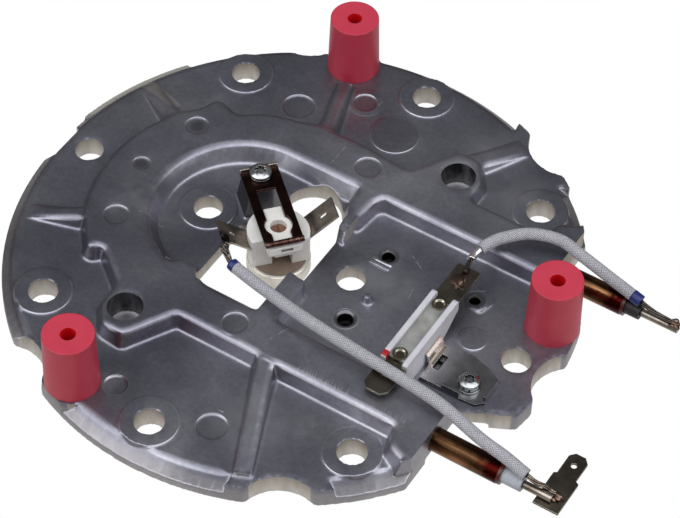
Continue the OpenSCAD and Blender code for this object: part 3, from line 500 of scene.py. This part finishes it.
def spacer_shade_and_glow(n, tone):
    """Sides painted a little darker than the top as painted shade, and the hole painted deep red as the glow of
    light bouncing in it.
    """
    top = n.ramp(n.axis(n.normal(), "Z"), (0.4, 0.0), (0.8, 1.0))
    # Painted light: deep red glow in the hole; painted shade: darker sides
    bore_glow = n.times(near(n, SPACERS, 0.0020, 0.0002), n.rest(top))
    shaded_side = n.mix(1.0, tone, (0.80, 0.62, 0.72), "MULTIPLY")
    return n.mix(bore_glow, n.mix(top, shaded_side, tone), (0.60, 0.002, 0.006))


def burnt_tip(n, tone):
    """Scorched corner where the lead is welded on."""
    patchy = n.ramp(n.noise(700, 4, 0.65), (0.36, 0.0), (0.5, 1.0))
    return n.mix(n.times(near(n, [CONTROL_WELD], 0.0014, 0.0018), patchy), tone, (0.012, 0.009, 0.008))


# Looks given a corner reach have painted shade in their corners; the pale edge colour of the tabs and the brown
# one of the clamp are painted highlights
LOOKS = {
    "heater_plate": cast_aluminium(),
    "tube_sheath": metal("sheath", (0.045, 0.018, 0.010), (0.15, 0.075, 0.035), 0.24, finish=burnt_end),
    "pin_near": metal("pin_metal", (0.12, 0.10, 0.08), (0.42, 0.38, 0.33), 0.3, corner_shade=0.0006),
    "terminal_tab": metal("tab_metal", (0.085, 0.072, 0.055), (0.17, 0.15, 0.12), 0.34, edge_tone=(0.55, 0.52, 0.46)),
    "seal_near": matte("seal", (0.03, 0.003, 0.003), (0.09, 0.007, 0.006), 0.3),
    "insulator_near": matte("pale_ceramic", (0.30, 0.33, 0.37), (0.44, 0.47, 0.51), 0.6),
    "insulator_far": matte("dark_insulator", (0.004, 0.004, 0.005), (0.02, 0.018, 0.018), 0.5),
    "spacer_left": matte("spacer_rubber", (0.46, 0.032, 0.062), (0.51, 0.039, 0.071), 0.45, edge=0.0004,
                         finish=spacer_shade_and_glow),
    "control_cup": metal("cup_aluminium", (0.66, 0.63, 0.57), (0.90, 0.88, 0.83), 0.4),
    "control_disc": matte("brown_disc", (0.125, 0.088, 0.066), (0.18, 0.132, 0.102), 0.42, finish=disc_finish),
    "control_body": matte("white_ceramic", (0.58, 0.57, 0.545), (0.72, 0.71, 0.685), 0.5, edge=0.0004,
                          finish=housing_slot_shade),
    "cutout_body": matte("trough_ceramic", (0.47, 0.47, 0.51), (0.57, 0.57, 0.615), 0.5, edge=0.0004,
                         finish=trough_finish),
    "control_blade_left": metal("blade_metal", (0.24, 0.20, 0.165), (0.56, 0.50, 0.435), 0.3,
                                edge_tone=(0.05, 0.04, 0.035), finish=burnt_tip),
    "control_adjuster": matte("brown_slug", (0.10, 0.045, 0.025), (0.20, 0.095, 0.055), 0.45),
    "control_clamp": metal("dark_steel", (0.012, 0.006, 0.005), (0.045, 0.021, 0.016), 0.28, edge=0.0003,
                           edge_tone=(0.11, 0.05, 0.04), finish=clamp_highlight_and_tint),
    "control_screw": metal("zinc_steel", (0.30, 0.31, 0.32), (0.66, 0.68, 0.68), 0.2, edge=0.0003, corner_shade=0.0009),
    "cutout_lid": matte("grey_lid", (0.15, 0.154, 0.150), (0.34, 0.342, 0.325), 0.3),
    "cutout_rivets": metal("rivet_metal", (0.26, 0.24, 0.19), (0.48, 0.45, 0.375), 0.28, finish=rivet_finish),
    "cutout_bracket": metal("bracket_aluminium", (0.34, 0.34, 0.36), (0.58, 0.58, 0.60), 0.26,
                            finish=bracket_light_and_shade),
    "cutout_clip": metal("clip_metal", (0.52, 0.47, 0.42), (0.78, 0.71, 0.65), 0.24, 200, 0.000004, edge=0.0002),
    "long_lead_wire": metal("conductor", (0.16, 0.12, 0.09), (0.62, 0.54, 0.46), 0.3, corner_shade=0.0005),
    "burnt_wire": metal("burnt_wire", (0.02, 0.016, 0.014), (0.22, 0.19, 0.17), 0.3, corner_shade=0.0005),
    "weld": metal("weld", (0.035, 0.022, 0.018), (0.28, 0.19, 0.145), 0.3, corner_shade=0.0005),
    "ferrule": metal("ferrule", (0.45, 0.43, 0.42), (0.90, 0.88, 0.86), 0.2, edge=0.0002),
    "long_lead_band": matte("band_ink", (0.004, 0.010, 0.07), (0.010, 0.024, 0.16), 0.4),
    "long_lead_sleeve": sleeve_weave(),
    "magnesia_fill": matte("magnesia", (0.6, 0.6, 0.57), (0.75, 0.75, 0.72), 0.8),
}
SHARED_LOOKS = {
    "seal_far": "seal_near", "pin_far": "pin_near", "resistance_coil": "pin_near", "spacer_rear": "spacer_left",
    "spacer_right": "spacer_left", "control_bimetal": "control_cup", "control_blade_right": "control_blade_left",
    "control_washer": "control_screw", "cutout_blade_rear": "terminal_tab",
    "cutout_blade_front": "terminal_tab", "cutout_washer": "control_screw", "cutout_screw": "control_screw",
    "cutout_spring_washer": "control_screw", "short_lead_sleeve": "long_lead_sleeve",
    "short_lead_wire": "long_lead_wire", "short_lead_band": "long_lead_band",
}


def look(node):
    return LOOKS[SHARED_LOOKS.get(node, node)]


def dress_nodes():
    for node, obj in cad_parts.items():
        obj.data.materials.clear()
        obj.data.materials.append(look(node))


dress_nodes()


# Casting skin

def link(name, mesh, material):
    obj = bpy.data.objects.new(name, mesh)
    bpy.context.scene.collection.objects.link(obj)
    mesh.materials.clear()
    mesh.materials.append(material)
    return obj


VOXEL = 0.3 * MM
FINE_ROUNDS = 2
SOFT_ROUNDS = 60
FOOT_ROUNDS = 8
# Where soft smoothing moves the surface by less than the first length, the fine surface stays, and where it moves
# it by more than the second, the soft one is taken
SOFT_FROM = 0.06 * MM
SOFT_FULL = 0.16 * MM
SKIN_TRIANGLES = 185000
# Steepest lean of a cut wall, as its normal's z, and how wide such a wall's band is drawn
CUT_LEAN = 0.13
CUT_SPREAD_ROUNDS = 6
CUT_GAIN = 8
# Levels of the floor and of the channel's top, and how near to them a mark's surface lies
FLOOR_Z = 0.0058
CHANNEL_Z = 0.01
LEVEL_REACH = 0.0005
MARK_MARGIN = 0.0005
COUNTERSINK_R = 0.0028
BOSS_FOOT_R = 0.0018


class Surface:
    """Points of a mesh with their neighbours, for smoothing."""

    def __init__(self, mesh):
        self.points = np.empty(len(mesh.vertices) * 3)
        mesh.vertices.foreach_get("co", self.points)
        self.points = self.points.reshape(-1, 3)
        ends = np.empty(len(mesh.edges) * 2, dtype=np.int64)
        mesh.edges.foreach_get("vertices", ends)
        self.a, self.b = ends.reshape(-1, 2).T
        self.degree = np.bincount(ends, minlength=len(self.points))

    def mean(self, values):
        """Each point's mean over its neighbours."""
        n = len(self.points)
        columns = [np.bincount(self.a, v[self.b], n) + np.bincount(self.b, v[self.a], n) for v in values.T]
        return np.stack(columns, 1) / self.degree[:, None]

    def smoothed(self, values, rounds, free=1.0):
        """Values drawn towards their neighbours' mean; where free is 0 they stay."""
        for _ in range(rounds):
            values = values + 0.5 * free * (self.mean(values) - values)
        return values


def evaluated_mesh(obj):
    return bpy.data.meshes.new_from_object(obj.evaluated_get(bpy.context.evaluated_depsgraph_get()))


def flat_marks(points):
    """1 on the low pads, marks and small bosses, whose edges stay crisp."""
    x, y, z = (points[:, i:i + 1] for i in range(3))
    holes = [(*hole, COUNTERSINK_R) for hole in TAPPED_HOLES]
    flat = np.zeros((len(points), 1))
    for mark_x, mark_y, radius in PAD_RINGS + MARK_RINGS + holes + [(*BOSS, BOSS_FOOT_R)]:
        flat[np.hypot(x - mark_x, y - mark_y) < radius + MARK_MARGIN] = 1
    level = (np.abs(z - FLOOR_Z) < LEVEL_REACH) | (np.abs(z - CHANNEL_Z) < LEVEL_REACH)
    boss = np.hypot(x - BOSS[0], y - BOSS[1]) < BOSS_FOOT_R + MARK_MARGIN
    return flat * (level | boss)


def casting_skin():
    """The casting again, with the wide round edges and fillets of its die. Walls that were cut afterwards are
    upright, where cast ones lean, and keep sharp edges."""
    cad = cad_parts["heater_plate"]
    work = link("casting_work", cad.data.copy(), look("heater_plate"))
    volume = work.modifiers.new("volume", "REMESH")
    volume.mode = "VOXEL"
    volume.voxel_size = VOXEL
    mesh = evaluated_mesh(work)
    work.modifiers.clear()
    surface = Surface(mesh)
    normals = np.empty(len(mesh.vertices) * 3)
    mesh.vertices.foreach_get("normal", normals)
    normals = surface.smoothed(normals.reshape(-1, 3), 1)
    cut = (np.abs(normals[:, 2:]) < CUT_LEAN).astype(float)
    cut = np.clip(surface.smoothed(cut, CUT_SPREAD_ROUNDS) * CUT_GAIN, 0, 1)
    mesh.attributes.new("cut", "FLOAT", "POINT").data.foreach_set("value", cut.ravel())
    fine = surface.smoothed(surface.points, FINE_ROUNDS)
    foot = surface.smoothed(fine, FOOT_ROUNDS, 1 - cut)
    soft = surface.smoothed(foot, SOFT_ROUNDS - FOOT_ROUNDS, 1 - cut)
    moved = np.linalg.norm(soft - fine, axis=1, keepdims=True)
    inward = np.sum((soft - fine) * normals, axis=1, keepdims=True) > 0
    share = np.clip((moved - SOFT_FROM) / (SOFT_FULL - SOFT_FROM), 0, 1) * (1 - cut)
    share = surface.smoothed(share, 2) * (1 - flat_marks(fine))
    ready = fine + share * (np.where(inward, foot, soft) - fine)
    mesh.vertices.foreach_set("co", ready.ravel())
    mesh.update()
    work.data = mesh
    thin = work.modifiers.new("thin", "DECIMATE")
    thin.ratio = min(1.0, SKIN_TRIANGLES / sum(len(f.vertices) - 2 for f in mesh.polygons))
    skin = link("casting_skin", evaluated_mesh(work), look("heater_plate"))
    for face in skin.data.polygons:
        face.use_smooth = True
    skin.matrix_world = cad.matrix_world
    bpy.data.objects.remove(work)
    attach(skin, "root")
    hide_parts("heater_plate")


casting_skin()


# Leads: the routes of the CAD model, in metres

LONG_ROUTE = [
    (-0.0108, -0.01405, 0.0146), (-0.0102, -0.01475, 0.01385), (-0.0089, -0.01545, 0.01305),
    (-0.00715, -0.0165, 0.0126), (-0.00265, -0.01765, 0.0126), (0.00395, -0.01925, 0.01305),
    (0.0152, -0.02165, 0.0139), (0.0301, -0.0237, 0.01445), (0.04415, -0.02485, 0.01415),
    (0.0551, -0.02545, 0.0129), (0.0669, -0.02745, 0.0108), (0.0737, -0.0281, 0.00975),
    (0.0798, -0.0291, 0.00875), (0.08245, -0.0289, 0.0075), (0.084, -0.02775, 0.0061),
    (0.08535, -0.0273, 0.00465), (0.0871, -0.0273, 0.00465),
]
SHORT_ROUTE = [
    (0.04, 0.011, 0.0129), (0.03945, 0.01405, 0.0129), (0.0392, 0.01665, 0.0129),
    (0.0396, 0.01885, 0.01305), (0.04065, 0.02165, 0.0133), (0.0425, 0.02455, 0.01355),
    (0.04725, 0.0292, 0.01355), (0.05395, 0.03175, 0.01305), (0.06005, 0.0311, 0.01215),
    (0.0688, 0.02995, 0.0105), (0.0741, 0.02925, 0.0096), (0.07775, 0.02875, 0.0089),
    (0.08055, 0.02875, 0.00775), (0.0836, 0.02905, 0.0068), (0.08665, 0.0291, 0.0066),
]
LONG_SLEEVED = (3, 12)
SHORT_SLEEVED = (3, 11)
SLEEVE_D = 0.00295
INK_D = SLEEVE_D + 0.00012
CRIMP_R = 0.00098
WIRE_D = 0.0012
# The strands of a bare end: their number, thickness, distance from the middle, turn along it in radians, and how
# far they fan out more where the long lead is welded to the control
STRANDS = 7
STRAND_D = WIRE_D * 0.30
STRAND_RING_R = WIRE_D * 0.36
STRAND_TWIST = 2.4
FAN = 0.0005


def curve_point(a, b, c, d, t):
    """Catmull-Rom curve between b and c."""
    return 0.5 * ((2 * b) + (c - a) * t + (2 * a - 5 * b + 4 * c - d) * t * t
                  + (3 * b - a - 3 * c + d) * t * t * t)


def smooth(route, first, last, steps):
    """Points of the route's curve from one of its points to another."""
    pts = [Vector(p) for p in route]

    def at(i):
        return pts[min(max(i, 0), len(pts) - 1)]
    line = [curve_point(at(i - 1), at(i), at(i + 1), at(i + 2), s / steps)
            for i in range(first, last) for s in range(steps)]
    return line + [pts[last]]


def across(line, i):
    """Two directions across a line at one of its points."""
    t = (line[min(i + 1, len(line) - 1)] - line[max(i - 1, 0)]).normalized()
    u = t.cross(Vector((0, 0, 1))).normalized()
    return u, u.cross(t)


def tube(name, line, radius, material, sides=20):
    """A round tube along a line, with u once round it and v in metres along it."""
    bm = bmesh.new()
    uv = bm.loops.layers.uv.new("UVMap")
    hoops, runs, run = [], [], 0.0
    for i, p in enumerate(line):
        u, v = across(line, i)
        run += (p - line[i - 1]).length if i else 0.0
        angles = [2 * math.pi * k / sides for k in range(sides)]
        hoops.append([bm.verts.new(p + radius * (math.cos(a) * u + math.sin(a) * v)) for a in angles])
        runs.append(run)
    for i in range(len(hoops) - 1):
        for k in range(sides):
            m = (k + 1) % sides
            f = bm.faces.new((hoops[i][k], hoops[i + 1][k], hoops[i + 1][m], hoops[i][m]))
            f.smooth = True
            spots = ((k, i), (k, i + 1), (k + 1, i + 1), (k + 1, i))
            for loop, (a, b) in zip(f.loops, spots):
                loop[uv].uv = (a / sides, runs[b])
    bm.faces.new(hoops[0])
    bm.faces.new(list(reversed(hoops[-1])))
    bmesh.ops.recalc_face_normals(bm, faces=bm.faces)
    return link(name, written(bm, name), material)


def written(bm, name):
    mesh = bpy.data.meshes.new(name)
    bm.to_mesh(mesh)
    bm.free()
    return mesh


def strands(name, line, fan, look_name):
    """Bare strands round a line, fanned out at its start, joined in one piece."""
    rng = random.Random(3)
    parts = []
    for k in range(STRANDS):
        own = 2 * math.pi * k / STRANDS + rng.uniform(-0.25, 0.25)
        points = []
        for i, p in enumerate(line):
            u, v = across(line, i)
            f = i / (len(line) - 1)
            turn = own + STRAND_TWIST * f
            points.append(p + (STRAND_RING_R + fan * (1 - f)) * (math.cos(turn) * u + math.sin(turn) * v))
        parts.append(tube(name, points, STRAND_D / 2, look(look_name), 7))
    return join(name, parts)


def join(name, parts):
    bm = bmesh.new()
    for obj in parts:
        bm.from_mesh(obj.data)
    material = parts[0].data.materials[0]
    mesh = written(bm, name)
    for obj in parts:
        bpy.data.objects.remove(obj)
    return link(name, mesh, material)


def weld(name, place, size, turn, look_name, seed):
    """A lump of melted metal."""
    rng = random.Random(seed)
    bm = bmesh.new()
    bmesh.ops.create_icosphere(bm, subdivisions=4, radius=1.0)
    waves = [(Vector((rng.uniform(-1, 1), rng.uniform(-1, 1), rng.uniform(-1, 1))) * rng.uniform(3, 9),
              rng.uniform(0, 6), rng.uniform(0.04, 0.13)) for _ in range(9)]
    for v in bm.verts:
        v.co *= 1 + sum(h * math.sin(v.co.dot(w) + at) for w, at, h in waves)
    for f in bm.faces:
        f.smooth = True
    mesh = written(bm, name)
    scale = Matrix.Diagonal((*size, 1))
    mesh.transform(Matrix.Translation(place) @ Matrix.Rotation(math.radians(turn), 4, "Z") @ scale)
    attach(link(name, mesh, look(look_name)), "root")


def band(name, line, replaced):
    piece = tube(name, line, INK_D / 2, look("long_lead_band"), 24)
    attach(piece, "root")
    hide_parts(replaced)
    return piece


def make_lead(name, route, sleeved, bare):
    """The braid, the conductor inside it, and strands at both bare ends. bare says where each end's strands start
    and stop on the route, their look and their fan."""
    first, last = sleeved
    line = smooth(route, first, last, 10)
    cover = tube(name + "_braid", line, SLEEVE_D / 2, look("long_lead_sleeve"), 28)
    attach(cover, "root")
    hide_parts(name + "_sleeve")
    core = tube(name + "_core", smooth(route, 0, len(route) - 1, 8), WIRE_D * 0.28, look("long_lead_wire"), 8)
    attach(core, "root")
    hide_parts(name + "_wire")
    pieces = [core]
    for tag, (start, stop, look_name, fan) in zip(("start", "end"), bare):
        rope = strands(name + "_strands_" + tag, smooth(route, start, stop, 8), fan, look_name)
        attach(rope, "root")
        pieces.append(rope)
    return cover, line, pieces


long_cover, long_line, long_pieces = make_lead("long_lead", LONG_ROUTE, LONG_SLEEVED,
                                               ((0, 3, "burnt_wire", FAN), (12, 16, "long_lead_wire", 0.0)))
short_cover, short_line, short_pieces = make_lead("short_lead", SHORT_ROUTE, SHORT_SLEEVED,
                                                  ((0, 3, "burnt_wire", 0.0), (11, 14, "burnt_wire", 0.0)))
long_pieces.append(band("long_lead_ink", long_line[:5], "long_lead_band"))
short_pieces.append(band("short_lead_ink", short_line[-8:], "short_lead_band"))
crimp = tube("short_lead_ferrule", smooth(SHORT_ROUTE, 1, 3, 8)[3:], CRIMP_R, look("ferrule"))
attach(crimp, "root")
short_pieces.append(crimp)

# Welds: on the control's left blade, the near tab, the far pin and the cut-out's rear blade
weld("weld_control", Vector((-0.0109, -0.0140, 0.0146)), (0.0009, 0.0007, 0.0006), 20, "burnt_wire", 5)
weld("weld_tab", Vector((0.0869, -0.0278, 0.0044)), (0.0017, 0.0012, 0.0007), 10, "weld", 7)
weld("weld_pin", Vector((0.0868, 0.0291, 0.0062)), (0.0014, 0.0010, 0.0009), 0, "weld", 9)
weld("weld_rear", Vector((0.0401, 0.0085, 0.01215)), (0.0019, 0.0025, 0.00055), 8, "weld", 11)


# Light: a white surround that only the camera sees. The metal reflects a pale table, a dim backdrop behind the
# part, a lighter room on the camera's side and a bright tent overhead, with a soft box on each side.

BACKDROP = 0.2
FRONT = 0.42
TENT = 2.0
TENT_HEIGHT = 3.2
TABLE = 0.75
BOX_DISTANCE = 0.9


def make_world():
    world = bpy.data.worlds.new("world")
    bpy.context.scene.world = world
    world.use_nodes = True
    world.node_tree.nodes.clear()
    n = Nodes(world.node_tree, "Generated")
    a = math.radians(CAMERA_AZIMUTH)
    to_camera = (math.sin(a), -math.cos(a), 0)
    brightest = Vector((math.sin(a), -math.cos(a), TENT_HEIGHT)).normalized()
    toward = n.add("VectorMath", {0: n.space, 1: brightest}, operation="DOT_PRODUCT").outputs["Value"]
    before = n.add("VectorMath", {0: n.space, 1: to_camera}, operation="DOT_PRODUCT").outputs["Value"]
    sides = n.span(before, -0.35, 0.5, BACKDROP, FRONT, smooth=True)
    tent = n.span(toward, 0.84, 0.985, smooth=True)
    height = n.axis(n.space, "Z")
    off_level = n.math("ABSOLUTE", height)
    dusk = n.span(off_level, 0.05, 0.35, 0.45)
    lit = n.math("ADD", n.times(sides, dusk), n.times(tent, TENT))
    below = n.span(height, -0.2, -0.6, smooth=True)
    power = n.math("ADD", n.times(lit, n.rest(below)), n.times(below, TABLE))
    sky = n.mix(below, (0.96, 0.97, 1.0), (1.0, 0.97, 0.93))
    tint = n.mix(n.span(off_level, 0.15, 0.5), (1.0, 0.88, 0.82), sky)
    reflected = n.add("Background", {"Color": tint, "Strength": power}).outputs[0]
    seen = n.add("Background", {"Color": (1, 1, 1), "Strength": 1.0}).outputs[0]
    direct = n.add("LightPath").outputs["Is Camera Ray"]
    out = n.add("OutputWorld")
    n.feed(n.add("MixShader", {0: direct, 1: reflected, 2: seen}).outputs[0], out.inputs[0])


def soft_box(name, azimuth, elevation, size, watts):
    """A soft box, in a direction counted from the camera's."""
    a, e = math.radians(CAMERA_AZIMUTH + azimuth), math.radians(elevation)
    away = Vector((math.sin(a) * math.cos(e), -math.cos(a) * math.cos(e), math.sin(e)))
    data = bpy.data.lights.new(name, "AREA")
    data.shape = "RECTANGLE"
    data.size, data.size_y = size
    data.energy = watts
    lamp = bpy.data.objects.new(name, data)
    lamp.location = away * BOX_DISTANCE
    lamp.rotation_euler = away.to_track_quat("Z", "Y").to_euler()
    bpy.context.scene.collection.objects.link(lamp)


bpy.context.scene.view_settings.view_transform = "Standard"
make_world()
soft_box("box_left", -70, 40, (0.7, 0.9), 4.6)
soft_box("box_right", 70, 40, (0.7, 0.9), 4.0)
